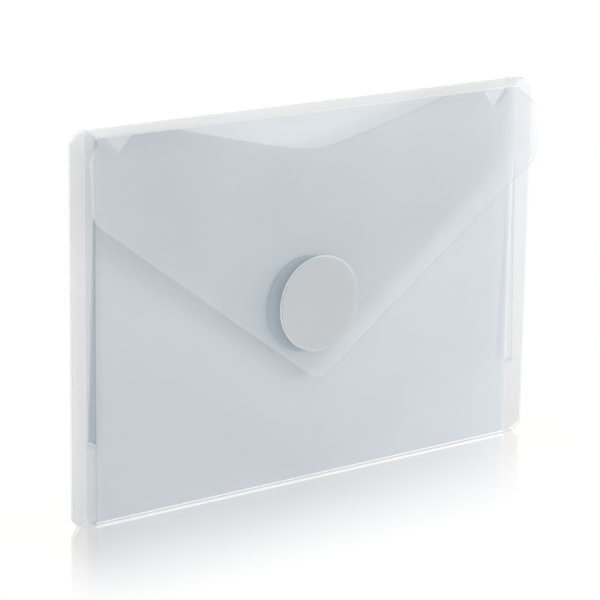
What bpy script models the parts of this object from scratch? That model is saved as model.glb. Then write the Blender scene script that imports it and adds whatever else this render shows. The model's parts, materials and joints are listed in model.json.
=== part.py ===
"""A frosted polypropylene portfolio wallet, closed and standing on its bottom edge.

One die-cut sheet is folded into a back panel, a bottom spine, a front panel, a top
spine and a V-shaped flap. The two sides are closed by folded gussets, and a pair of
round hook-and-loop coins holds the flap shut. Every fold is a score line, which leaves
a thin web of sheet as a living hinge between two stiff panels.

Frame: +X across the front, -Y towards the front, +Z up, metres. The origin is at the
bottom centre. The outer face of the front panel lies in the plane y = 0.
"""
from math import atan2, cos, exp, hypot, pi, sin, sqrt, tan

import bmesh
import bpy
from mathutils import Matrix

MM = 0.001
WELD = 0.01 * MM            # vertices closer than this are one

# Driving dimensions of the sheet and the pocket
SHEET = 0.5 * MM            # thickness of the sheet
FOLD_GAP = 0.45 * MM        # from a fold's axis to the edge of the panel beside it
WEB_RADIUS = 0.2 * MM       # thin web that the score line leaves at a fold
GAP = 0.3 * MM              # clearance between neighbouring pieces
PANEL_HALF = 76.0 * MM      # middle of the wallet to the folds at its sides
CREASE_HALF = 83.3 * MM     # middle of the wallet to the outer edge of a gusset
POCKET = 4.4 * MM           # inside depth between the front and back panels
CREASE_DEPTH = 1.1 * MM     # how far the gusset crease lies behind the front face
TOP = 112.4 * MM            # height of the back panel and of the gussets
CHAMFER = 3.0 * MM          # cut across the gusset's ends at the crease

# Driving dimensions of the front panel
FRONT_TOP = 110.3 * MM
THUMB_HALF = 49.0 * MM      # half the width of the wide finger notch at the top edge
THUMB_DEPTH = 10.7 * MM
THUMB_ROUNDING = 8.0 * MM   # radius at the bottom of the finger notch
THUMB_STEPS = 32
RELIEF_X = 67.5 * MM        # where the two small relief notches are
RELIEF_HALF = 4.1 * MM
RELIEF_DEPTH = 4.2 * MM
RELIEF_ROUNDING = 0.8 * MM
RELIEF_STEPS = 8
TAB_LOW = 23.6 * MM         # square lower end of the side tab and of the relief slot
TAB_HIGH = 88.0 * MM        # where the side tab and the relief slot run out
TAB_DEPTH = 3.7 * MM
TAB_END = 0.6 * MM
SLOT_WIDTH = 1.9 * MM

# Driving dimensions of the flap
FOLD_Z = 111.0 * MM         # height of the flap's fold
FLAP_HALF = 80.0 * MM       # half the width across the flap's side corners
FLARE_Z = 104.0 * MM        # where the side edge has reached its full width
FLARE_STEPS = 6
CORNER_RADIUS = 8.0 * MM
CORNER_STEPS = 8
TIP_RADIUS = 6.0 * MM
TIP_STEPS = 5
TIP_Z = 30.3 * MM           # where the two slanted edges would cross
EDGE_SLOPE = 0.732          # rise of a slanted edge for each unit across
FOLD_LIFT = 0.75 * MM       # flap's middle surface in front of the front panel, at the fold
SIDE_LIFT = 1.97 * MM       # extra lift at the free side corners
SPRING = 4.5 * MM           # distance below the fold in which the sheet springs away
FLAP_MARGIN = 2.0 * MM      # grid past the flap's outline, which the trim takes off
FLAP_COLUMNS = 44
FLAP_ROWS = 30
TRIM_DEPTH = 30.0 * MM      # thickness of the block that trims the flap

# Driving dimensions of the hook-and-loop coins
COIN_Z = 53.9 * MM
COIN_RADIUS = 14.3 * MM
COIN_THICKNESS = 1.0 * MM
ADHESIVE_RADIUS = 14.0 * MM
ADHESIVE_THICKNESS = 0.25 * MM
COIN_GAP = 0.1 * MM         # clearance between the layers of the coin stack
COIN_EDGE = 0.2 * MM        # softened rim of a coin
COIN_STEPS = 64
LOOP_OFFSET = -3.0 * MM     # the loop coin is stuck a little to the left of the hook coin

PANEL_EDGE = PANEL_HALF - FOLD_GAP
CREASE_AXIS = (CREASE_HALF - WEB_RADIUS, CREASE_DEPTH)
BACK_FACE = 2.0 * SHEET + POCKET
BACK_MIDDLE = BACK_FACE - 0.5 * SHEET
FRONT_MIDDLE = 0.5 * SHEET
COIN_LIFT = 5 * COIN_GAP + 2 * (ADHESIVE_THICKNESS + COIN_THICKNESS) + 0.5 * SHEET
SPINE_AXIS = (BACK_MIDDLE, TOP - 0.5 * SHEET)
FLAP_AXIS = (-FOLD_LIFT, FOLD_Z)
MOUTH_AXIS = (FRONT_MIDDLE, 0.5 * SHEET)


# ---------------------------------------------------------------- scene and materials

def clear_scene():
    for item in list(bpy.data.objects):
        bpy.data.objects.remove(item, do_unlink=True)


def new_collection(name):
    group = bpy.data.collections.new(name)
    bpy.context.scene.collection.children.link(group)
    return group


def material(name, colour, roughness):
    finish = bpy.data.materials.new(name)
    finish.use_nodes = True
    shader = finish.node_tree.nodes["Principled BSDF"]
    shader.inputs["Base Color"].default_value = (*colour, 1.0)
    shader.inputs["Roughness"].default_value = roughness
    shader.inputs["Metallic"].default_value = 0.0
    return finish


# ---------------------------------------------------------------- shape helpers

def upright(x=0.0, y=0.0, z=0.0, turn=0.0):
    """Stand a drawing up: its x runs across, its y runs up, turned about the vertical."""
    return Matrix.Translation((x, y, z)) @ Matrix.Rotation(turn, 4, "Z") @ Matrix.Rotation(pi / 2, 4, "X")


def cut_sheet(name, outline, place, finish, group, thickness=SHEET):
    """A flat piece of sheet with the given outline, as one closed mesh object."""
    drawing = bpy.data.curves.new(name + "_outline", "CURVE")
    drawing.dimensions = "2D"
    drawing.fill_mode = "BOTH"
    drawing.extrude = 0.5 * thickness
    spline = drawing.splines.new("POLY")
    spline.points.add(len(outline) - 1)
    for point, (across, up) in zip(spline.points, outline):
        point.co = (across, up, 0.0, 1.0)
    spline.use_cyclic_u = True
    sketch = bpy.data.objects.new(name + "_sketch", drawing)
    group.objects.link(sketch)
    bpy.context.view_layer.update()
    evaluated = sketch.evaluated_get(bpy.context.evaluated_depsgraph_get())
    mesh = bpy.data.meshes.new_from_object(evaluated)
    mesh.name = name
    bpy.data.objects.remove(sketch, do_unlink=True)
    bpy.data.curves.remove(drawing)
    shape = bmesh.new()
    shape.from_mesh(mesh)
    bmesh.ops.remove_doubles(shape, verts=shape.verts, dist=WELD)
    bmesh.ops.recalc_face_normals(shape, faces=shape.faces)
    shape.to_mesh(mesh)
    shape.free()
    mesh.materials.clear()
    mesh.materials.append(finish)
    piece = bpy.data.objects.new(name, mesh)
    piece.matrix_world = place
    group.objects.link(piece)
    return piece


def arc(centre, radius, start, stop, steps):
    """Points along a round stretch of an outline, from one angle to another."""
    angles = [start + (stop - start) * step / steps for step in range(steps + 1)]
    return [(centre[0] + radius * cos(a), centre[1] + radius * sin(a)) for a in angles]


def notch(middle, half, depth, rounding, steps):
    """A V-shaped notch in the front panel's top edge, rounded at its bottom, left to right."""
    scale = depth / (sqrt(half ** 2 + rounding ** 2) - rounding)
    points = []
    for step in range(steps + 1):
        across = half * (2.0 * step / steps - 1.0)
        up = scale * (sqrt(across ** 2 + rounding ** 2) - rounding)
        points.append((middle + across, FRONT_TOP - depth + up))
    return points


def relief_notch(middle):
    return notch(middle, RELIEF_HALF, RELIEF_DEPTH, RELIEF_ROUNDING, RELIEF_STEPS)


def leg_between(name, start, end, outline, finish, group):
    """A strip of sheet standing between two vertical lines, given as (x, y) pairs."""
    turn = atan2(end[1] - start[1], end[0] - start[0])
    return cut_sheet(name, outline, upright(start[0], start[1], 0.0, turn), finish, group)


def web(name, start, end, finish, group):
    """The thin web along a fold, from one end of the score line to the other."""
    line = bpy.data.curves.new(name, "CURVE")
    line.dimensions = "3D"
    line.bevel_depth = WEB_RADIUS
    line.bevel_resolution = 2
    line.use_fill_caps = True
    spline = line.splines.new("POLY")
    spline.points.add(1)
    spline.points[0].co = (*start, 1.0)
    spline.points[1].co = (*end, 1.0)
    line.materials.append(finish)
    piece = bpy.data.objects.new(name, line)
    group.objects.link(piece)
    return piece


def web_across(name, axis, finish, group):
    """A web along X, its axis given as (y, z)."""
    return web(name, (-PANEL_EDGE, *axis), (PANEL_EDGE, *axis), finish, group)


# ---------------------------------------------------------------- the flap's form

def flap_lift(across, up):
    """Height of the flap's middle surface in front of the front panel.

    The sheet springs away from the fold, is held by the coins, and lifts at its sides.
    """
    spring = 1.0 - exp(-(FOLD_Z - up) / SPRING)
    aside = max(abs(across) - COIN_RADIUS, 0.0) / (FLAP_HALF - COIN_RADIUS)
    return FOLD_LIFT + (COIN_LIFT - FOLD_LIFT + SIDE_LIFT * aside ** 2) * spring


def flap_outline():
    """Right half from the fold down to the tip, then the same points mirrored."""
    slant = atan2(EDGE_SLOPE, 1.0)
    corner_z = TIP_Z + EDGE_SLOPE * FLAP_HALF
    reach = CORNER_RADIUS * tan(0.25 * pi - 0.5 * slant)
    corner = (FLAP_HALF - CORNER_RADIUS, corner_z + reach)
    tip = (0.0, TIP_Z + TIP_RADIUS / cos(slant))
    top = FOLD_Z - FOLD_GAP
    flare = []
    for step in range(FLARE_STEPS + 1):
        share = step / FLARE_STEPS
        across = PANEL_HALF + (FLAP_HALF - PANEL_HALF) * sin(0.5 * pi * share)
        flare.append((across, top - (top - FLARE_Z) * share))
    rounded = arc(corner, CORNER_RADIUS, 0.0, slant - 0.5 * pi, CORNER_STEPS)
    point = arc(tip, TIP_RADIUS, slant - 0.5 * pi, -0.5 * pi, TIP_STEPS)
    right = flare + rounded + point
    left = [(-across, up) for across, up in reversed(right[:-1])]
    return right + left


def make_flap(finish, group, cutters):
    """A bent sheet, its rows closest near the fold, trimmed to the V outline."""
    width = 2.0 * (FLAP_HALF + FLAP_MARGIN)
    height = FOLD_Z - TIP_Z + FLAP_MARGIN
    shape = bmesh.new()
    bmesh.ops.create_grid(shape, x_segments=FLAP_COLUMNS, y_segments=FLAP_ROWS, size=0.5)
    for vertex in shape.verts:
        across = vertex.co.x * width
        up = FOLD_Z - height * (0.5 - vertex.co.y) ** 1.5
        vertex.co = (across, -flap_lift(across, up), up)
    bmesh.ops.recalc_face_normals(shape, faces=shape.faces)
    mesh = bpy.data.meshes.new("flap")
    shape.to_mesh(mesh)
    shape.free()
    mesh.materials.append(finish)
    piece = bpy.data.objects.new("flap", mesh)
    group.objects.link(piece)
    wall = piece.modifiers.new("wall", "SOLIDIFY")
    wall.thickness = SHEET
    wall.offset = 0.0
    cutter = cut_sheet("flap_trim", flap_outline(), upright(), finish, cutters, TRIM_DEPTH)
    cutter.hide_render = True
    cutter.display_type = "WIRE"
    trim = piece.modifiers.new("trim", "BOOLEAN")
    trim.operation = "INTERSECT"
    trim.object = cutter
    return piece


# ---------------------------------------------------------------- panels, spines, gussets

def make_front_panel(finish, group):
    half = PANEL_EDGE
    low = MOUTH_AXIS[1] + FOLD_GAP
    outline = [(-half, low), (half, low), (half, FRONT_TOP)]
    edge = relief_notch(-RELIEF_X)
    edge += notch(0.0, THUMB_HALF, THUMB_DEPTH, THUMB_ROUNDING, THUMB_STEPS)
    edge += relief_notch(RELIEF_X)
    outline += list(reversed(edge))
    outline.append((-half, FRONT_TOP))
    return cut_sheet("front_panel", outline, upright(y=FRONT_MIDDLE), finish, group)


def make_back_panel(finish, group):
    low = MOUTH_AXIS[1] + FOLD_GAP
    high = SPINE_AXIS[1] - FOLD_GAP
    outline = [(-PANEL_EDGE, low), (PANEL_EDGE, low), (PANEL_EDGE, high), (-PANEL_EDGE, high)]
    return cut_sheet("back_panel", outline, upright(y=BACK_MIDDLE), finish, group)


def make_bottom_spine(finish, group):
    near = FRONT_MIDDLE + FOLD_GAP
    far = BACK_MIDDLE - FOLD_GAP
    outline = [(-PANEL_EDGE, near), (PANEL_EDGE, near), (PANEL_EDGE, far), (-PANEL_EDGE, far)]
    return cut_sheet("bottom_spine", outline, Matrix.Translation((0.0, 0.0, 0.5 * SHEET)), finish, group)


def make_top_spine(finish, group):
    """The strip over the pocket's mouth, sloping down from the back panel to the flap."""
    run = SPINE_AXIS[0] - FLAP_AXIS[0]
    fall = SPINE_AXIS[1] - FLAP_AXIS[1]
    length = hypot(run, fall)
    far = length - FOLD_GAP
    outline = [(-PANEL_EDGE, FOLD_GAP), (PANEL_EDGE, FOLD_GAP), (PANEL_EDGE, far), (-PANEL_EDGE, far)]
    place = Matrix.Translation((0.0, FLAP_AXIS[0], FLAP_AXIS[1])) @ Matrix.Rotation(atan2(fall, run), 4, "X")
    return cut_sheet("top_spine", outline, place, finish, group)


def gusset_outline(length, slotted):
    """A leg from its panel to the crease, its ends cut off at the crease."""
    outline = [(0.0, 0.0), (length - CHAMFER, 0.0), (length, CHAMFER), (length, TOP - CHAMFER)]
    outline += [(length - CHAMFER, TOP), (0.0, TOP)]
    if slotted:
        outline += [(0.0, TAB_HIGH), (SLOT_WIDTH, TAB_LOW), (0.0, TAB_LOW)]
    return outline


def make_gusset(side, name, finish, group):
    """Two legs, one from each panel, that meet at the outer crease, and their webs."""
    half_step = 0.5 * (SHEET + GAP)
    legs = (("front_leg", FRONT_MIDDLE, CREASE_DEPTH - half_step, True),
            ("rear_leg", BACK_MIDDLE, CREASE_DEPTH + half_step, False))
    for leg, hinge_y, crease_y, slotted in legs:
        run = CREASE_AXIS[0] - FOLD_GAP - PANEL_HALF
        rise = crease_y - hinge_y
        length = hypot(run, rise) - FOLD_GAP
        step = FOLD_GAP / hypot(run, rise)
        start = (side * (PANEL_HALF + step * run), hinge_y + step * rise)
        end = (side * (PANEL_HALF + run), crease_y)
        leg_between(f"{name}_gusset_{leg}", start, end, gusset_outline(length, slotted), finish, group)
    crease = (side * CREASE_AXIS[0], CREASE_AXIS[1])
    rear = (side * PANEL_HALF, BACK_MIDDLE)
    front = (side * PANEL_HALF, FRONT_MIDDLE)
    web(f"{name}_gusset_crease_hinge", (*crease, CHAMFER), (*crease, TOP - CHAMFER), finish, group)
    web(f"{name}_gusset_rear_hinge", (*rear, SHEET), (*rear, TOP - SHEET), finish, group)
    low = web(f"{name}_gusset_front_hinge_low", (*front, SHEET), (*front, TAB_LOW), finish, group)
    high = web(f"{name}_gusset_front_hinge_high", (*front, TAB_HIGH), (*front, FRONT_TOP), finish, group)
    return [bpy.data.objects[f"{name}_gusset_front_leg"], low, high]


def make_side_tab(side, name, finish, group):
    """A tapered tab folded back from the front panel's edge, behind the relief slot."""
    near = SHEET + GAP
    outline = [(near, TAB_LOW), (near + TAB_DEPTH, TAB_LOW), (near + TAB_END, TAB_HIGH), (near, TAB_HIGH)]
    across = side * (PANEL_EDGE - 0.5 * SHEET)
    return cut_sheet(f"{name}_side_tab", outline, upright(x=across, turn=0.5 * pi), finish, group)


# ---------------------------------------------------------------- hook-and-loop coins

def disc(name, across, radius, thickness, front, edge, finish, group):
    """A round layer of the closure, centred at x = across, its front face in the plane y = front."""
    shape = bmesh.new()
    bmesh.ops.create_cone(shape, cap_ends=True, segments=COIN_STEPS, radius1=radius, radius2=radius,
                          depth=thickness)
    mesh = bpy.data.meshes.new(name)
    shape.to_mesh(mesh)
    shape.free()
    mesh.materials.append(finish)
    mesh.shade_smooth()
    mesh.set_sharp_from_angle(angle=pi / 6)
    piece = bpy.data.objects.new(name, mesh)
    piece.matrix_world = upright(across, front + 0.5 * thickness, COIN_Z)
    group.objects.link(piece)
    if edge:
        soften = piece.modifiers.new("soften", "BEVEL")
        soften.width = edge
        soften.segments = 2
        soften.limit_method = "ANGLE"
        soften.angle_limit = pi / 6
    return piece


def make_coins(finishes, group):
    """The stack from the flap's inner face back to the front panel."""
    front = -COIN_LIFT + 0.5 * SHEET + COIN_GAP
    layers = (("hook_coin_adhesive", 0.0, ADHESIVE_RADIUS, ADHESIVE_THICKNESS, 0.0, "adhesive"),
              ("hook_coin", 0.0, COIN_RADIUS, COIN_THICKNESS, COIN_EDGE, "coin"),
              ("loop_coin", LOOP_OFFSET, COIN_RADIUS, COIN_THICKNESS, COIN_EDGE, "coin"),
              ("loop_coin_adhesive", LOOP_OFFSET, ADHESIVE_RADIUS, ADHESIVE_THICKNESS, 0.0, "adhesive"))
    pieces = {}
    for name, across, radius, thickness, edge, finish in layers:
        pieces[name] = disc(name, across, radius, thickness, front, edge, finishes[finish], group)
        front += thickness + COIN_GAP
    return pieces


# ---------------------------------------------------------------- folds

def fold_empty(name, axis, group, parent=None):
    """An empty on a fold's axis, given as (y, z). What turns on the fold is its child."""
    empty = bpy.data.objects.new(name, None)
    group.objects.link(empty)
    empty.matrix_world = Matrix.Translation((0.0, axis[0], axis[1]))
    if parent:
        hang(empty, parent)
    return empty


def hang(child, parent):
    """Parent a piece without moving it."""
    bpy.context.view_layer.update()
    child.parent = parent
    child.matrix_parent_inverse = parent.matrix_world.inverted()


def main():
    clear_scene()
    group = new_collection("portfolio_case")
    cutters = new_collection("portfolio_case_cutters")
    film = material("frosted_polypropylene", (0.62, 0.67, 0.72), 0.45)
    gusset = material("gusset_polypropylene", (0.79, 0.79, 0.79), 0.45)
    finishes = {"coin": material("hook_and_loop_coin", (0.62, 0.64, 0.67), 0.85),
                "adhesive": material("clear_adhesive", (0.70, 0.71, 0.72), 0.35)}

    make_back_panel(film, group)
    make_bottom_spine(film, group)
    web_across("bottom_front_hinge", MOUTH_AXIS, film, group)
    web_across("bottom_rear_hinge", (BACK_MIDDLE, 0.5 * SHEET), film, group)
    web_across("top_rear_hinge", SPINE_AXIS, film, group)
    front_web = web_across("top_front_hinge", FLAP_AXIS, film, group)
    spine = make_top_spine(film, group)
    flap = make_flap(film, group, cutters)
    front = [make_front_panel(film, group)]
    for side, name in ((-1, "left"), (1, "right")):
        front += make_gusset(side, name, gusset, group)
        front.append(make_side_tab(side, name, film, group))
    coins = make_coins(finishes, group)

    spine_fold = fold_empty("spine_fold", SPINE_AXIS, group)
    flap_fold = fold_empty("flap_fold", FLAP_AXIS, group, spine_fold)
    pocket_mouth = fold_empty("pocket_mouth", MOUTH_AXIS, group)
    for piece in (spine, front_web):
        hang(piece, spine_fold)
    for piece in (flap, coins["hook_coin"], coins["hook_coin_adhesive"]):
        hang(piece, flap_fold)
    for piece in front + [coins["loop_coin"], coins["loop_coin_adhesive"]]:
        hang(piece, pocket_mouth)


main()
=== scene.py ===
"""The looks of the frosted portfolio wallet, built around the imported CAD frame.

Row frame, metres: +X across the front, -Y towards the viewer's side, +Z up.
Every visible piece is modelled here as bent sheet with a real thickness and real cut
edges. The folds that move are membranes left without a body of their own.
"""
import json
from math import atan2, cos, exp, pi, radians, sin, sqrt, tan
from random import Random

import bmesh
import bpy
from mathutils import Matrix, Vector


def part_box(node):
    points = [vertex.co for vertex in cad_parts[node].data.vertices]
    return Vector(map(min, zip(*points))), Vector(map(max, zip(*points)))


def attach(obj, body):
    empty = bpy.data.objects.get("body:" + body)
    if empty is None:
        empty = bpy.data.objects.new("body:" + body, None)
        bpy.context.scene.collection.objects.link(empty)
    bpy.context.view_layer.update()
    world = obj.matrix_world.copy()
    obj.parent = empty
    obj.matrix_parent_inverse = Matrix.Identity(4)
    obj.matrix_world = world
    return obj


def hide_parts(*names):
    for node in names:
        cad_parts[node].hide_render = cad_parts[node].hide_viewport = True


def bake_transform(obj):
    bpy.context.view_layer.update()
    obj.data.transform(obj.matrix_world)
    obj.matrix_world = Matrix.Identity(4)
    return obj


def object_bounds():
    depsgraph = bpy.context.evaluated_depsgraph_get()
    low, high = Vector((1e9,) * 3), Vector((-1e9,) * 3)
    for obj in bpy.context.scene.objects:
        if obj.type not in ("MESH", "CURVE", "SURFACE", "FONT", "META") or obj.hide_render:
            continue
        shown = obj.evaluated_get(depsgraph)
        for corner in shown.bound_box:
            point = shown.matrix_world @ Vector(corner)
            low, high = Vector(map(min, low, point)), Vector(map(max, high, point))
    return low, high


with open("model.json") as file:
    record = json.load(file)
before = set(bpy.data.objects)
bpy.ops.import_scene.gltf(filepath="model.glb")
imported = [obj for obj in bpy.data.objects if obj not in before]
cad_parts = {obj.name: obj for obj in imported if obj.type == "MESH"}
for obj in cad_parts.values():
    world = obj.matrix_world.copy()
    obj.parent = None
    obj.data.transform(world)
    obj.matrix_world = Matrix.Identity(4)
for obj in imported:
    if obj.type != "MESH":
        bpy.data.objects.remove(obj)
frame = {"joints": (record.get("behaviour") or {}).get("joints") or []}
CAD_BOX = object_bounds()
MM = 0.001

# ---------------------------------------------------------------- places from the frame


def low(node):
    return Vector(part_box(node)[0])


def high(node):
    return Vector(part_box(node)[1])


def middle(node):
    return 0.5 * (low(node) + high(node))


JOINTS = {joint["name"]: Vector(joint["pos_m"]) for joint in frame["joints"]}
SPINE_AXIS = JOINTS["spine_fold"]
FLAP_AXIS = JOINTS["flap_fold"]
MOUTH_AXIS = JOINTS["pocket_mouth"]

SHEET = high("front_panel").y - low("front_panel").y
FRONT_Y = middle("front_panel").y
BACK_Y = middle("back_panel").y
PANEL_EDGE = high("front_panel").x
PANEL_TOP = high("front_panel").z
FOLD_X = middle("right_gusset_rear_hinge").x
CREASE_X = high("right_gusset_crease_hinge").x
CREASE_Y = middle("right_gusset_crease_hinge").y
WALLET_TOP = high("left_gusset_rear_leg").z
CHAMFER = low("right_gusset_crease_hinge").z
TAB_LOW = low("left_side_tab").z
TAB_HIGH = high("left_side_tab").z
FLAP_HALF = high("flap").x
COIN_RADIUS = 0.5 * (high("hook_coin").x - low("hook_coin").x)

# Details of the sheet that the plain CAD pieces leave out
FOLD_REACH = 0.55 * MM      # from a fold's axis to where the stiff sheet starts
WEB = 0.34 * MM             # thickness of the scored sheet at a fold
SEAM = 0.01 * MM            # clearance between a fold's membrane and the panel beside it
RIM_BEVEL = 0.07 * MM       # softened edge of a die-cut rim
RIM_ANGLE = radians(50.0)   # edges sharper than this are softened
RIM_SLOT = 1                # material slot of the rim faces

# How finely the sheets are divided
COLUMNS = 48                # across the back panel, the strap and the folds
PANEL_COLUMNS = 60
THUMB_COLUMNS = 70
RELIEF_COLUMNS = 20
PANEL_ROWS = 40
BACK_ROWS = 36
BACK_CORNER_ROWS = 6
BACK_FOOT_ROWS = 4
STRAP_ROWS = 6
FOLD_ROWS = 10
FLAP_COLUMNS = 72
FLARE_STEPS = 8
CORNER_STEPS = 14
EDGE_STEPS = 34
FLAP_SIDE_STEPS = 6
TIP_STEPS = 12
GUSSET_END_ROWS = 10
SLOT_ROWS = 26
FRONT_LEG_STEPS = 10
CREASE_STEPS = 12
REAR_LEG_STEPS = 12
TAB_ROWS = 24
TAB_COLUMNS = 4
CLOSEST = 0.02 * MM         # least spacing between lines of a grid

# The front panel's top edge
THUMB_HALF = 49.0 * MM      # the wide finger notch in the middle
THUMB_DEPTH = 10.7 * MM
THUMB_ROUND = 8.0 * MM
RELIEF_X = 67.5 * MM        # the two small relief notches
RELIEF_HALF = 4.1 * MM
RELIEF_DEPTH = 4.2 * MM
RELIEF_ROUND = 0.8 * MM

# The gussets and the side tabs
SLOT_WIDTH = 1.9 * MM       # relief slot in the front leg, at its lower end
CREASE_ROUND = 0.42 * MM    # bend radius of the crease
TRIM = 9.0 * MM             # height over which the gusset's rows bend to follow its chamfers
TAB_END = 0.6 * MM          # depth of the tab at its top

# The flap's outline and bend
NECK_Z = 109.3 * MM         # above this the flap is narrow, to pass between the gussets' tops
FLARE_Z = 104.0 * MM        # where the side edge has reached its full width
CORNER_RADIUS = 8.0 * MM
TIP_RADIUS = 6.0 * MM
TIP_Z = 30.3 * MM           # where the two slanted edges would cross
EDGE_SLOPE = 0.732          # rise of a slanted edge for each unit across
SIDE_LIFT = 2.4 * MM        # extra lift at the free side corners
SPRING = 4.5 * MM           # distance below the fold in which the sheet springs away
FOLD_LIFT = -FLAP_AXIS.y
COIN_GAP = 0.1 * MM         # between the flap and the hook coin's adhesive
COIN_LIFT = -low("hook_coin_adhesive").y + COIN_GAP + 0.5 * SHEET

# The coins
COIN_BACKING = 0.38 * MM    # solid disc that the hooks or loops stand on
HOOK_PITCH = 1.25 * MM
HOOK_WIDTH = 0.11 * MM      # half-size of a hook's strand across its bend
HOOK_DEPTH = 0.06 * MM      # half-size of a hook's strand along its bend
HOOK_CURL = 0.14 * MM       # radius of a hook's bend
LOOP_PITCH = 1.25 * MM
LOOP_THICK = 0.075 * MM     # half-size of a loop's strand
ROW_CLOSE = 0.866           # spacing of staggered rows, for each unit of pitch
STRAND_SIDES = 6
HOOK_STEPS = 6
LOOP_STEPS = 9
COIN_STEPS = 96
ROUND_STEPS = 4             # steps of a coin's rounded rim
HOOK_COIN_ROUND = 0.12 * MM
LOOP_COIN_ROUND = 0.14 * MM
ADHESIVE_ROUND = 0.05 * MM

# Surface of the frosted sheet, in features per metre
CLOUD_SCALE = 22.0
HAZE_SCALE = 60.0
GRAIN_SCALE = 900.0
GRAIN_HEIGHT = 0.01 * MM
GRAIN_BUMP = 0.25
PLASTIC_IOR = 1.49
NOISE_LOW, NOISE_HIGH = 0.3, 0.7    # the range that the noise texture mostly stays in

# The stage, in metres from the wallet's outline on the floor
FLOOR_SIZE = 12.0
FLOOR_Z = -0.03 * MM        # keeps the floor clear of the wallet's lowest face
MIRROR_START = -0.01        # where the reflection starts to fade
MIRROR_END = 0.062          # where it has gone
MIRROR_SHARE = 0.82
WHITE = 1.02                # strength of the white that the camera sees
FLOOR_FILL = 0.9            # strength of the floor as light on matt surfaces
WORLD_FILL = 0.8

# The camera: left of the front and a little above
AZIMUTH = radians(-37.08)
ELEVATION = radians(14.96)
ROLL = radians(0.92)
DISTANCE = 0.7561
LENS = 155.97               # millimetres, on a sensor this wide:
SENSOR = 36.0
TARGET = Vector((-0.00537, 0.0, 0.05515))

# ---------------------------------------------------------------- materials


def new_material(name):
    finish = bpy.data.materials.new(name)
    finish.use_nodes = True
    tree = finish.node_tree
    return finish, tree, tree.nodes["Principled BSDF"]


def object_noise(tree, scale, detail):
    """Noise in the row frame, in features per metre."""
    place = tree.nodes.new("ShaderNodeTexCoord")
    noise = tree.nodes.new("ShaderNodeTexNoise")
    noise.inputs["Scale"].default_value = scale
    noise.inputs["Detail"].default_value = detail
    tree.links.new(place.outputs["Object"], noise.inputs["Vector"])
    return noise.outputs["Fac"]


def ramp(tree, value, stops):
    """Colours or greys at places along a 0 to 1 value."""
    node = tree.nodes.new("ShaderNodeValToRGB")
    while len(node.color_ramp.elements) < len(stops):
        node.color_ramp.elements.new(0.5)
    for element, (place, colour) in zip(node.color_ramp.elements, stops):
        element.position = place
        element.color = (*colour, 1.0)
    tree.links.new(value, node.inputs["Fac"])
    return node.outputs["Color"]


def fit(tree, value, low_out, high_out):
    """Spread a noise value over a range."""
    node = tree.nodes.new("ShaderNodeMapRange")
    node.inputs["From Min"].default_value = NOISE_LOW
    node.inputs["From Max"].default_value = NOISE_HIGH
    node.inputs["To Min"].default_value = low_out
    node.inputs["To Max"].default_value = high_out
    tree.links.new(value, node.inputs["Value"])
    return node.outputs["Result"]


def add_grain(tree, shader):
    """The fine matt grain of the frosting, as relief."""
    bump = tree.nodes.new("ShaderNodeBump")
    bump.inputs["Strength"].default_value = GRAIN_BUMP
    bump.inputs["Distance"].default_value = GRAIN_HEIGHT
    tree.links.new(object_noise(tree, GRAIN_SCALE, 1.0), bump.inputs["Height"])
    tree.links.new(bump.outputs["Normal"], shader.inputs["Normal"])


def frosted(name, dark, light, roughness, transmission=0.0):
    """Frosted plastic: a cloudy tint between two colours, and a fine matt grain."""
    finish, tree, shader = new_material(name)
    cloud = object_noise(tree, CLOUD_SCALE, 3.0)
    tree.links.new(ramp(tree, cloud, ((0.35, dark), (0.65, light))), shader.inputs["Base Color"])
    haze = object_noise(tree, HAZE_SCALE, 3.0)
    tree.links.new(fit(tree, haze, roughness - 0.02, roughness + 0.02), shader.inputs["Roughness"])
    add_grain(tree, shader)
    shader.inputs["Transmission Weight"].default_value = transmission
    shader.inputs["IOR"].default_value = PLASTIC_IOR
    shader.inputs["Specular IOR Level"].default_value = 0.5
    return finish


def milky(name, dark, light, roughness, alpha):
    """Thin milky film: matt face that lets a plain share of what is behind it show."""
    finish = frosted(name, dark, light, roughness)
    finish.node_tree.nodes["Principled BSDF"].inputs["Alpha"].default_value = alpha
    return finish


PANEL_SHEET = milky("frosted_sheet", (0.54, 0.59, 0.64), (0.57, 0.62, 0.67), 0.38, 0.65)
BACK_SHEET = milky("frosted_back", (0.61, 0.66, 0.70), (0.64, 0.69, 0.73), 0.38, 0.36)
FLAP_SHEET = milky("frosted_flap", (0.555, 0.61, 0.66), (0.585, 0.64, 0.69), 0.40, 0.22)
# Painted shade: the side tabs get a darker copy of the sheet, standing for the shade seen in the relief
# slot.
SHADED_TAB_SHEET = milky("frosted_tab_painted_shade", (0.47, 0.54, 0.59), (0.51, 0.58, 0.63), 0.45, 0.62)
GUSSET_SHEET = milky("frosted_gusset", (0.61, 0.625, 0.65), (0.64, 0.655, 0.68), 0.38, 0.23)
# Painted light: the top strap and its folds get a lighter, greyer copy of the sheet, standing for the
# light from above on the wallet's top.
LIT_STRAP_SHEET = milky("frosted_strap_painted_light", (0.72, 0.725, 0.72), (0.75, 0.755, 0.75), 0.38, 0.36)
CUT_EDGE = milky("cut_edge", (0.62, 0.67, 0.70), (0.66, 0.71, 0.74), 0.5, 0.3)
# Painted highlight: the bottom front fold is near white, standing for the bright line where the fold
# catches the light.
FOLD_HIGHLIGHT = milky("fold_painted_highlight", (0.94, 0.95, 0.96), (0.97, 0.98, 0.98), 0.42, 0.7)
ADHESIVE = frosted("clear_adhesive", (0.94, 0.95, 0.95), (0.97, 0.97, 0.97), 0.22, 0.9)
COIN_PLASTIC = frosted("coin_plastic", (0.95, 0.965, 0.985), (0.98, 0.985, 0.99), 0.5)
# Painted shade: the loop pile is a dark blue-grey, standing for the shadow that lies left of the hook
# coin.
LOOP_PAINTED_SHADE = frosted("loop_pile_painted_shade", (0.26, 0.38, 0.46), (0.32, 0.44, 0.52), 0.8)


# ---------------------------------------------------------------- mesh helpers

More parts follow.
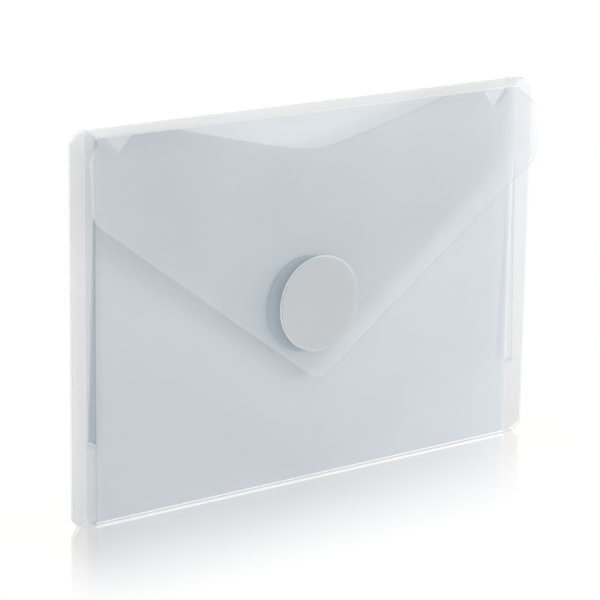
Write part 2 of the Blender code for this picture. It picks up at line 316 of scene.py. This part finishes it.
def finish_sheet(name, mesh, body, nodes, seam,
                 thickness=SHEET, face=PANEL_SHEET, rim=CUT_EDGE):
    """Give a middle surface its thickness, its cut rim and soft rim edges, and place it.

    seam(point) is true where the sheet carries on into the next piece, so it has no rim there.
    A piece given no body is left without a parent.
    """
    piece = bpy.data.objects.new(name, mesh)
    bpy.context.scene.collection.objects.link(piece)
    mesh.materials.append(face)
    mesh.materials.append(rim)
    wall = piece.modifiers.new("wall", "SOLIDIFY")
    wall.thickness = thickness
    wall.offset = 0.0
    wall.use_even_offset = True
    wall.material_offset_rim = RIM_SLOT
    bake(piece)
    open_seam(piece.data, seam)
    soften = piece.modifiers.new("soften", "BEVEL")
    soften.width = RIM_BEVEL
    soften.segments = 2
    soften.limit_method = "ANGLE"
    soften.angle_limit = RIM_ANGLE
    soften.material = -1
    bake(piece)
    smooth(piece)
    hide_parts(*nodes)
    if body:
        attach(piece, body)
    return piece


def open_seam(mesh, seam):
    """Take away the rim faces along a seam."""
    shape = bmesh.new()
    shape.from_mesh(mesh)
    joined = [face for face in shape.faces
              if face.material_index == RIM_SLOT and seam(face.calc_center_median())]
    bmesh.ops.delete(shape, geom=joined, context="FACES_ONLY")
    shape.to_mesh(mesh)
    shape.free()


def bake(piece):
    """Turn the piece's modifiers into its mesh."""
    bpy.context.view_layer.update()
    evaluated = piece.evaluated_get(bpy.context.evaluated_depsgraph_get())
    mesh = bpy.data.meshes.new_from_object(evaluated)
    piece.modifiers.clear()
    piece.data = mesh


def smooth(piece):
    piece.data.shade_smooth()
    piece.data.set_sharp_from_angle(angle=radians(32.0))


def to_mesh(shape, name):
    """Turn a bmesh into a named mesh whose faces all look outwards."""
    bmesh.ops.recalc_face_normals(shape, faces=shape.faces)
    mesh = bpy.data.meshes.new(name)
    shape.to_mesh(mesh)
    shape.free()
    return mesh


def grid_surface(name, rows):
    """A middle surface through rows of points. A row may be one point, for a tip."""
    shape = bmesh.new()
    lines = [[shape.verts.new(point) for point in row] for row in rows]
    for line, after in zip(lines, lines[1:]):
        if len(after) == 1:
            for a, b in zip(line, line[1:]):
                shape.faces.new((a, b, after[0]))
        else:
            for a, b, c, d in zip(line, line[1:], after[1:], after):
                shape.faces.new((a, b, c, d))
    return to_mesh(shape, name)


def spread(start, end, steps):
    """Evenly spaced values from start to end, both of them included."""
    return [start + (end - start) * k / steps for k in range(steps + 1)]


def arc(centre, radius, start, stop, steps):
    return [(centre[0] + radius * cos(a), centre[1] + radius * sin(a))
            for a in spread(start, stop, steps)]


def between(start, stop, steps):
    """Evenly spaced points in a plane from start to stop, both of them included."""
    return [(start[0] + (stop[0] - start[0]) * k, start[1] + (stop[1] - start[1]) * k)
            for k in spread(0.0, 1.0, steps)]


def notch_depth(across, centre, half, depth, rounding):
    """How far a rounded V notch cuts down at a place along the top edge."""
    away = abs(across - centre)
    if away >= half:
        return 0.0
    scale = depth / (sqrt(half ** 2 + rounding ** 2) - rounding)
    return depth - scale * (sqrt(away ** 2 + rounding ** 2) - rounding)


# ---------------------------------------------------------------- panels

def panel_top(across):
    """Height of the front panel's top edge, with its three notches."""
    cut = notch_depth(across, 0.0, THUMB_HALF, THUMB_DEPTH, THUMB_ROUND)
    for centre in (-RELIEF_X, RELIEF_X):
        cut = max(cut, notch_depth(across, centre, RELIEF_HALF, RELIEF_DEPTH, RELIEF_ROUND))
    return PANEL_TOP - cut


def front_panel():
    edge = PANEL_EDGE - SEAM
    places = set(spread(-edge, edge, PANEL_COLUMNS))
    places |= set(spread(-THUMB_HALF, THUMB_HALF, THUMB_COLUMNS))
    for centre in (-RELIEF_X, RELIEF_X):
        places |= set(spread(centre - RELIEF_HALF, centre + RELIEF_HALF, RELIEF_COLUMNS))
    places = sorted(places)
    columns = [places[0]]
    for place in places[1:]:
        if place - columns[-1] > CLOSEST:
            columns.append(place)
    bottom = MOUTH_AXIS.z + FOLD_REACH + SEAM
    rows = [[(x, FRONT_Y, bottom + (panel_top(x) - bottom) * share) for x in columns]
            for share in spread(0.0, 1.0, PANEL_ROWS)]
    mesh = grid_surface("front_panel_sheet", rows)

    def seam(point):
        beside_slot = TAB_LOW < point.z < TAB_HIGH
        return point.z < bottom + SEAM or (abs(point.x) > edge - SEAM and not beside_slot)

    finish_sheet("front_panel_sheet", mesh, "pocket_front", ["front_panel"], seam)


def back_sheet():
    """Back panel, bottom rear fold and bottom spine: one sheet bent round a soft corner."""
    bottom = MOUTH_AXIS.z
    radius = FOLD_REACH
    foot = (MOUTH_AXIS.y + FOLD_REACH + SEAM, bottom)
    path = between(foot, (BACK_Y - radius, bottom), BACK_FOOT_ROWS)
    path += arc((BACK_Y - radius, bottom + radius), radius, -0.5 * pi, 0.0, BACK_CORNER_ROWS)[1:]
    path += between((BACK_Y, bottom + radius), (BACK_Y, SPINE_AXIS.z - FOLD_REACH - SEAM), BACK_ROWS)[1:]
    columns = spread(-PANEL_EDGE + SEAM, PANEL_EDGE - SEAM, COLUMNS)
    rows = [[(x, y, z) for x in columns] for y, z in path]
    mesh = grid_surface("back_panel_sheet", rows)

    def seam(point):
        return point.z > bottom + radius or point.y < foot[0] + SEAM

    finish_sheet("back_panel_sheet", mesh, "pocket_back",
                 ["back_panel", "bottom_spine", "bottom_rear_hinge"], seam, face=BACK_SHEET)


def top_spine():
    """The strip over the pocket's mouth, between the two top folds."""
    along = SPINE_AXIS - FLAP_AXIS
    length = along.length
    along.normalize()
    columns = spread(-PANEL_EDGE + SEAM, PANEL_EDGE - SEAM, COLUMNS)
    rows = []
    for reach in spread(FOLD_REACH + SEAM, length - FOLD_REACH - SEAM, STRAP_ROWS):
        point = FLAP_AXIS + along * reach
        rows.append([(x, point.y, point.z) for x in columns])
    mesh = grid_surface("top_spine_sheet", rows)

    def seam(point):
        return abs(point.x) < PANEL_EDGE - 2.0 * SEAM

    # The strap's lighter finish is painted light.
    finish_sheet("top_spine_sheet", mesh, "spine_strap", ["top_spine"], seam,
                 face=LIT_STRAP_SHEET, rim=LIT_STRAP_SHEET)


# ---------------------------------------------------------------- flap

def flap_lift(across, up):
    """How far the flap's middle surface stands in front of the front panel's face.

    The sheet springs away from the top fold, is held at the coin, and its side corners lift.
    """
    spring = 1.0 - exp(-(FLAP_AXIS.z - up) / SPRING)
    aside = max(abs(across) - COIN_RADIUS, 0.0) / (FLAP_HALF - COIN_RADIUS)
    return FOLD_LIFT + (COIN_LIFT - FOLD_LIFT + SIDE_LIFT * aside ** 2) * spring


def flap_edge():
    """Half-widths and heights down the flap's right side, from the fold to the tip."""
    slant = atan2(EDGE_SLOPE, 1.0)
    corner_z = TIP_Z + EDGE_SLOPE * FLAP_HALF
    reach = CORNER_RADIUS * tan(0.25 * pi - 0.5 * slant)
    corner = (FLAP_HALF - CORNER_RADIUS, corner_z + reach)
    tip = (0.0, TIP_Z + TIP_RADIUS / cos(slant))
    top = FLAP_AXIS.z - FOLD_REACH - SEAM
    neck = PANEL_EDGE - SEAM
    edge = [(neck, top)]
    edge += [(neck + (FLAP_HALF - neck) * sin(0.5 * pi * k), NECK_Z + (FLARE_Z - NECK_Z) * k)
             for k in spread(0.0, 1.0, FLARE_STEPS)]
    rounded = arc(corner, CORNER_RADIUS, 0.0, slant - 0.5 * pi, CORNER_STEPS)
    point = arc(tip, TIP_RADIUS, slant - 0.5 * pi, -0.5 * pi, TIP_STEPS)
    straight = between(rounded[-1], point[0], EDGE_STEPS)[1:-1]
    side = between((FLAP_HALF, FLARE_Z), rounded[0], FLAP_SIDE_STEPS)[1:-1]
    return edge + side + rounded + straight + point


def flap_sheet():
    outline = flap_edge()
    top = outline[0][1]
    rows = []
    for half, z in outline:
        if half < CLOSEST:
            rows.append([(0.0, -flap_lift(0.0, z), z)])
        else:
            rows.append([(x, -flap_lift(x, z), z) for x in spread(-half, half, FLAP_COLUMNS)])
    mesh = grid_surface("flap_sheet", rows)

    def seam(point):
        return point.z > top - SEAM

    finish_sheet("flap_sheet", mesh, "flap_leaf", ["flap"], seam, face=FLAP_SHEET)


# ---------------------------------------------------------------- folds that move

def fold_bend(name, centre, first, second, nodes, half, finish):
    """The scored membrane round a fold's axis, from one panel's direction to another's.

    first and second are unit vectors in the YZ plane, from the axis towards each panel.
    """
    turn = first.angle(second)
    radius = FOLD_REACH * tan(0.5 * turn)
    bisector = (first + second).normalized()
    hub = centre + bisector * (FOLD_REACH / cos(0.5 * turn))
    start = centre + first * FOLD_REACH - hub
    stop = centre + second * FOLD_REACH - hub
    sweep = start.angle(stop)
    rows = []
    for k in spread(0.0, 1.0, FOLD_ROWS):
        arm = (start * sin((1.0 - k) * sweep) + stop * sin(k * sweep)) / sin(sweep)
        point = hub + arm.normalized() * radius
        rows.append([(x, point.y, point.z) for x in spread(-half, half, COLUMNS)])
    mesh = grid_surface(name, rows)

    def seam(point):
        return abs(point.x) < half - SEAM

    piece = finish_sheet(name, mesh, None, nodes, seam, thickness=WEB, face=finish, rim=finish)
    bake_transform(piece)


def moving_folds():
    """The three folds across the width that a joint turns."""
    up = Vector((0.0, 0.0, 1.0))
    rear = Vector((0.0, 1.0, 0.0))
    slope = (SPINE_AXIS - FLAP_AXIS).normalized()
    half = PANEL_EDGE - SEAM
    # The bottom fold's near-white finish is a painted highlight.
    fold_bend("bottom_front_fold", MOUTH_AXIS, rear, up,
              ["bottom_front_hinge"], half, FOLD_HIGHLIGHT)
    # The top folds share the strap's painted-light finish.
    fold_bend("top_rear_fold", SPINE_AXIS, -up, -slope,
              ["top_rear_hinge"], half, LIT_STRAP_SHEET)
    fold_bend("top_front_fold", FLAP_AXIS, slope, -up,
              ["top_front_hinge"], half, LIT_STRAP_SHEET)


# ---------------------------------------------------------------- gussets

def gusset_path():
    """Across the gusset in plan: front fold, front leg, rounded crease, rear leg, rear fold."""
    radius = CREASE_ROUND
    hub = (CREASE_X - 0.5 * SHEET - radius, CREASE_Y)
    front = (PANEL_EDGE + SEAM, FRONT_Y)
    rear = (PANEL_EDGE + SEAM, BACK_Y)
    lead = atan2(hub[1] - radius - front[1], hub[0] - front[0])
    tail = atan2(rear[1] - hub[1] - radius, hub[0] - rear[0])
    crease = arc(hub, radius, -0.5 * pi + lead, 0.5 * pi - tail, CREASE_STEPS)
    front_leg = between(front, crease[0], FRONT_LEG_STEPS)
    rear_leg = between(crease[-1], rear, REAR_LEG_STEPS)
    return front_leg[:-1] + crease + rear_leg[1:]


def slot_reach(z):
    """How far the relief slot cuts into the front leg at a height."""
    if z < TAB_LOW or z > TAB_HIGH:
        return 0.0
    return FOLD_X - PANEL_EDGE + SLOT_WIDTH * (TAB_HIGH - z) / (TAB_HIGH - TAB_LOW)


def gusset(side, name):
    """One V-shaped side, from the front panel's edge round its crease to the back panel's."""
    path = gusset_path()
    heights = spread(0.0, TAB_LOW - CLOSEST, GUSSET_END_ROWS)
    heights += spread(TAB_LOW, TAB_HIGH, SLOT_ROWS)
    heights += spread(TAB_HIGH + CLOSEST, WALLET_TOP, GUSSET_END_ROWS)
    leg_start = path[0][0]
    leg_stop = path[FRONT_LEG_STEPS - 1][0]
    chamfer_x = CREASE_X - CHAMFER
    rows = []
    for z in heights:
        row = []
        for index, (x, y) in enumerate(path):
            if index < FRONT_LEG_STEPS:
                x += slot_reach(z) * (leg_stop - x) / (leg_stop - leg_start)
            over = max(x - chamfer_x, 0.0)
            raised = over * max(1.0 - z / TRIM, 0.0)
            lowered = over * max(1.0 - (WALLET_TOP - z) / TRIM, 0.0)
            row.append((side * x, y, z + raised - lowered))
        rows.append(row)
    mesh = grid_surface(f"{name}_gusset_sheet", rows)

    def seam(point):
        return abs(point.x) < PANEL_EDGE + 2.0 * SEAM

    nodes = [f"{name}_gusset_{part}" for part in ("front_leg", "rear_leg", "crease_hinge", "rear_hinge",
                                                 "front_hinge_low", "front_hinge_high")]
    piece = finish_sheet(f"{name}_gusset_sheet", mesh, None, nodes, seam,
                         face=GUSSET_SHEET, rim=GUSSET_SHEET)
    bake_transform(piece)


def side_tab(side, name):
    """Tapered tab bent back from the front panel's edge."""
    corner = low(f"{name}_side_tab")
    opposite = high(f"{name}_side_tab")
    x = side * (max(abs(corner.x), abs(opposite.x)) - 0.5 * SHEET)
    rows = []
    for z in spread(TAB_LOW, TAB_HIGH, TAB_ROWS):
        share = (TAB_HIGH - z) / (TAB_HIGH - TAB_LOW)
        reach = TAB_END + (opposite.y - corner.y - TAB_END) * share
        rows.append([(x, y, z) for y in spread(corner.y, corner.y + reach, TAB_COLUMNS)])
    mesh = grid_surface(f"{name}_tab_sheet", rows)
    # The tab's darker finish is painted shade.
    finish_sheet(f"{name}_tab_sheet", mesh, "pocket_front", [f"{name}_side_tab"],
                 lambda point: False, face=SHADED_TAB_SHEET, rim=SHADED_TAB_SHEET)


# ---------------------------------------------------------------- hook-and-loop coins

def turned(name, profile, centre):
    """A round piece about the Y direction, from (radius, y) pairs starting and ending on the axis."""
    shape = bmesh.new()
    rings = []
    for radius, y in profile:
        if radius == 0.0:
            rings.append([shape.verts.new((centre.x, y, centre.z))])
        else:
            rings.append([shape.verts.new((centre.x + radius * cos(a), y, centre.z + radius * sin(a)))
                          for a in spread(0.0, 2.0 * pi, COIN_STEPS)[:-1]])
    for ring, after in zip(rings, rings[1:]):
        for a in range(COIN_STEPS):
            b = (a + 1) % COIN_STEPS
            if len(ring) == 1:
                shape.faces.new((ring[0], after[a], after[b]))
            elif len(after) == 1:
                shape.faces.new((ring[a], after[0], ring[b]))
            else:
                shape.faces.new((ring[a], after[a], after[b], ring[b]))
    return to_mesh(shape, name)


def strand(shape, foot, lean, outward, profile, half_width, half_depth):
    """One bent strand on a coin: profile holds (sideways, height) places along its length."""
    across = lean.cross(outward)
    rings = []
    for index, (side, height) in enumerate(profile):
        before = Vector(profile[max(index - 1, 0)])
        after = Vector(profile[min(index + 1, len(profile) - 1)])
        run = (after - before).normalized()
        normal = outward * run.x - lean * run.y
        centre = foot + lean * side + outward * height
        ring = [centre + across * (half_width * cos(a)) + normal * (half_depth * sin(a))
                for a in spread(0.0, 2.0 * pi, STRAND_SIDES)[:-1]]
        rings.append([shape.verts.new(point) for point in ring])
    for ring, beyond in zip(rings, rings[1:]):
        for a in range(STRAND_SIDES):
            b = (a + 1) % STRAND_SIDES
            shape.faces.new((ring[a], ring[b], beyond[b], beyond[a]))
    shape.faces.new(rings[0])
    shape.faces.new(rings[-1])


def strand_places(centre, radius, pitch):
    """Staggered rows of places over a coin, kept off its rim, with the number of each row."""
    rows = int(radius / (pitch * ROW_CLOSE))
    for row in range(-rows, rows + 1):
        up = row * pitch * ROW_CLOSE
        for column in range(-rows, rows + 1):
            across = (column + 0.5 * (row % 2)) * pitch
            if sqrt(across ** 2 + up ** 2) < radius - 0.5 * pitch:
                yield row, Vector((centre.x + across, 0.0, centre.z + up))


def hooks(shape, centre, radius, base_y, outward, height):
    """Moulded hooks in staggered rows, every other row bent the other way."""
    stem = height - HOOK_CURL - HOOK_DEPTH
    profile = [(0.0, -HOOK_DEPTH), (0.0, 0.5 * stem), (0.0, stem)]
    profile += [(HOOK_CURL - HOOK_CURL * cos(a), stem + HOOK_CURL * sin(a))
                for a in spread(0.0, 1.2 * pi, HOOK_STEPS)[1:]]
    for row, place in strand_places(centre, radius, HOOK_PITCH):
        lean = Vector((1.0 if row % 2 else -1.0, 0.0, 0.0))
        foot = Vector((place.x, base_y, place.z))
        strand(shape, foot, lean, outward, profile, HOOK_WIDTH, HOOK_DEPTH)


def loops(shape, centre, radius, base_y, outward, height):
    """Napped loops that lean every way, none of them quite the same height."""
    chance = Random(5)
    for _, place in strand_places(centre, radius, LOOP_PITCH):
        turn = chance.uniform(0.0, pi)
        tall = height * chance.uniform(0.7, 1.0) - LOOP_THICK
        wide = LOOP_PITCH * chance.uniform(0.35, 0.55)
        tilt = chance.uniform(-0.25, 0.25) * wide
        profile = [(wide * cos(a) + tilt * sin(a), tall * sin(a))
                   for a in spread(-0.1 * pi, 1.1 * pi, LOOP_STEPS)]
        lean = Vector((cos(turn), 0.0, sin(turn)))
        foot = Vector((place.x + chance.uniform(-0.2, 0.2) * LOOP_PITCH, base_y,
                       place.z + chance.uniform(-0.2, 0.2) * LOOP_PITCH))
        strand(shape, foot, lean, outward, profile, LOOP_THICK, LOOP_THICK)


def coin_layer(name, node, body, finish, edge, dress=None, facing=0.0):
    """A turned disc with a rounded rim.

    dress is the function that covers its open side with hooks or loops, and facing is that
    side's direction along Y. A dressed disc is only the backing that they stand on.
    """
    near, far = low(node).y, high(node).y
    height = far - near - COIN_BACKING
    if dress and facing > 0.0:
        far = near + COIN_BACKING
    elif dress:
        near = far - COIN_BACKING
    radius = 0.5 * (high(node).x - low(node).x)
    profile = [(0.0, near), (0.5 * radius, near), (radius - 2.0 * edge, near), (radius - edge, near)]
    profile += arc((radius - edge, near + edge), edge, -0.5 * pi, 0.0, ROUND_STEPS)[1:]
    profile += arc((radius - edge, far - edge), edge, 0.0, 0.5 * pi, ROUND_STEPS)
    profile += [(0.5 * radius, far), (0.0, far)]
    mesh = turned(name, profile, middle(node))
    if dress:
        shape = bmesh.new()
        shape.from_mesh(mesh)
        base_y = far if facing > 0.0 else near
        dress(shape, middle(node), radius, base_y, Vector((0.0, facing, 0.0)), height)
        bmesh.ops.recalc_face_normals(shape, faces=shape.faces)
        shape.to_mesh(mesh)
        shape.free()
    mesh.materials.append(finish)
    piece = bpy.data.objects.new(name, mesh)
    bpy.context.scene.collection.objects.link(piece)
    smooth(piece)
    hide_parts(node)
    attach(piece, body)


def coins():
    coin_layer("hook_coin_disc", "hook_coin", "flap_leaf", COIN_PLASTIC, HOOK_COIN_ROUND,
               hooks, facing=1.0)
    # The loop pile's dark colour is painted shade.
    coin_layer("loop_coin_disc", "loop_coin", "pocket_front", LOOP_PAINTED_SHADE, LOOP_COIN_ROUND,
               loops, facing=-1.0)
    coin_layer("hook_adhesive_disc", "hook_coin_adhesive", "flap_leaf", ADHESIVE,
               ADHESIVE_ROUND)
    coin_layer("loop_adhesive_disc", "loop_coin_adhesive", "pocket_front", ADHESIVE,
               ADHESIVE_ROUND)


# ---------------------------------------------------------------- stage, light, camera

def math_node(tree, operation, first, second=None):
    """A sum in the node tree. Each operand is a number or another node's output."""
    node = tree.nodes.new("ShaderNodeMath")
    node.operation = operation
    for socket, value in zip(node.inputs, (first, second)):
        if value is None:
            continue
        if isinstance(value, float):
            socket.default_value = value
        else:
            tree.links.new(value, socket)
    return node.outputs["Value"]


def studio_strength(tree, socket, fill):
    """White to look at and in reflections, but only a soft fill as light on matt surfaces."""
    path = tree.nodes.new("ShaderNodeLightPath")
    strength = tree.nodes.new("ShaderNodeMapRange")
    strength.inputs["To Min"].default_value = WHITE
    strength.inputs["To Max"].default_value = fill
    tree.links.new(path.outputs["Is Diffuse Ray"], strength.inputs["Value"])
    tree.links.new(strength.outputs["Result"], socket)


def outline_distance(tree):
    """Distance along the floor from the closed wallet's outline, which is nothing inside it."""
    place = tree.nodes.new("ShaderNodeTexCoord")
    parts = tree.nodes.new("ShaderNodeSeparateXYZ")
    tree.links.new(place.outputs["Object"], parts.inputs["Vector"])
    squares = []
    for axis, half in zip("XY", CAD_BOX[1]):
        size = math_node(tree, "ABSOLUTE", parts.outputs[axis])
        outside = math_node(tree, "MAXIMUM", math_node(tree, "SUBTRACT", size, half), 0.0)
        squares.append(math_node(tree, "POWER", outside, 2.0))
    return math_node(tree, "SQRT", math_node(tree, "ADD", *squares))


def stage():
    """White floor that glows softly like a sweep, with a reflection that fades from the base.

    The reflection is left out of the light that the floor throws on matt surfaces.
    """
    bpy.ops.mesh.primitive_plane_add(size=FLOOR_SIZE, location=(0.0, 0.0, FLOOR_Z))
    floor = bpy.context.object
    floor.name = "studio_floor"
    finish, tree, _ = new_material("white_floor")
    fade = tree.nodes.new("ShaderNodeMapRange")
    fade.interpolation_type = "SMOOTHSTEP"
    fade.inputs["From Min"].default_value = MIRROR_START
    fade.inputs["From Max"].default_value = MIRROR_END
    fade.inputs["To Min"].default_value = MIRROR_SHARE
    fade.inputs["To Max"].default_value = 0.0
    tree.links.new(outline_distance(tree), fade.inputs["Value"])
    glow = tree.nodes.new("ShaderNodeEmission")
    studio_strength(tree, glow.inputs["Strength"], FLOOR_FILL)
    mirror = tree.nodes.new("ShaderNodeBsdfGlossy")
    mirror.inputs["Color"].default_value = (0.99, 0.975, 0.96, 1.0)
    mirror.inputs["Roughness"].default_value = 0.08
    mix = tree.nodes.new("ShaderNodeMixShader")
    path = tree.nodes.new("ShaderNodeLightPath")
    seen = math_node(tree, "SUBTRACT", 1.0, path.outputs["Is Diffuse Ray"])
    tree.links.new(math_node(tree, "MULTIPLY", fade.outputs["Result"], seen), mix.inputs["Fac"])
    tree.links.new(glow.outputs["Emission"], mix.inputs[1])
    tree.links.new(mirror.outputs["BSDF"], mix.inputs[2])
    tree.links.new(mix.outputs["Shader"], tree.nodes["Material Output"].inputs["Surface"])
    floor.data.materials.append(finish)


def area_light(name, place, aim, size, power, colour=(1.0, 1.0, 1.0)):
    """A soft rectangular lamp, turned to face a point."""
    lamp = bpy.data.lights.new(name, "AREA")
    lamp.shape = "RECTANGLE"
    lamp.size, lamp.size_y = size
    lamp.energy = power
    lamp.color = colour
    light = bpy.data.objects.new(name, lamp)
    light.location = place
    light.rotation_euler = (Vector(aim) - Vector(place)).to_track_quat("-Z", "Y").to_euler()
    bpy.context.scene.collection.objects.link(light)


def lighting():
    """A white room, a warm key from the right and a soft lamp above and behind."""
    world = bpy.data.worlds.new("white_studio")
    bpy.context.scene.world = world
    world.use_nodes = True
    tree = world.node_tree
    background = tree.nodes["Background"]
    background.inputs["Color"].default_value = (1.0, 1.0, 1.0, 1.0)
    studio_strength(tree, background.inputs["Strength"], WORLD_FILL)
    area_light("key_right", place=(0.63, -0.307, 0.06), aim=(0.0, 0.0, 0.055), size=(0.3, 0.25),
               power=6.4, colour=(1.0, 0.955, 0.90))
    area_light("top", place=(-0.35, 0.19, 0.47), aim=(0.0, 0.0, 0.10), size=(0.3, 0.3), power=2.05)
    bpy.context.scene.view_settings.view_transform = "Standard"


def camera():
    data = bpy.data.cameras.new("camera")
    data.lens = LENS
    data.sensor_width = SENSOR
    eye = bpy.data.objects.new("camera", data)
    bpy.context.scene.collection.objects.link(eye)
    away = Vector((sin(AZIMUTH) * cos(ELEVATION), -cos(AZIMUTH) * cos(ELEVATION), sin(ELEVATION)))
    aim = (-away).to_track_quat("-Z", "Y").to_matrix().to_4x4()
    eye.matrix_world = Matrix.Translation(TARGET + away * DISTANCE) @ aim @ Matrix.Rotation(ROLL, 4, "Z")
    data.clip_start = 0.01
    bpy.context.scene.camera = eye


back_sheet()
front_panel()
top_spine()
flap_sheet()
moving_folds()
for side, name in ((-1, "left"), (1, "right")):
    gusset(side, name)
    side_tab(side, name)
coins()
stage()
lighting()
camera()
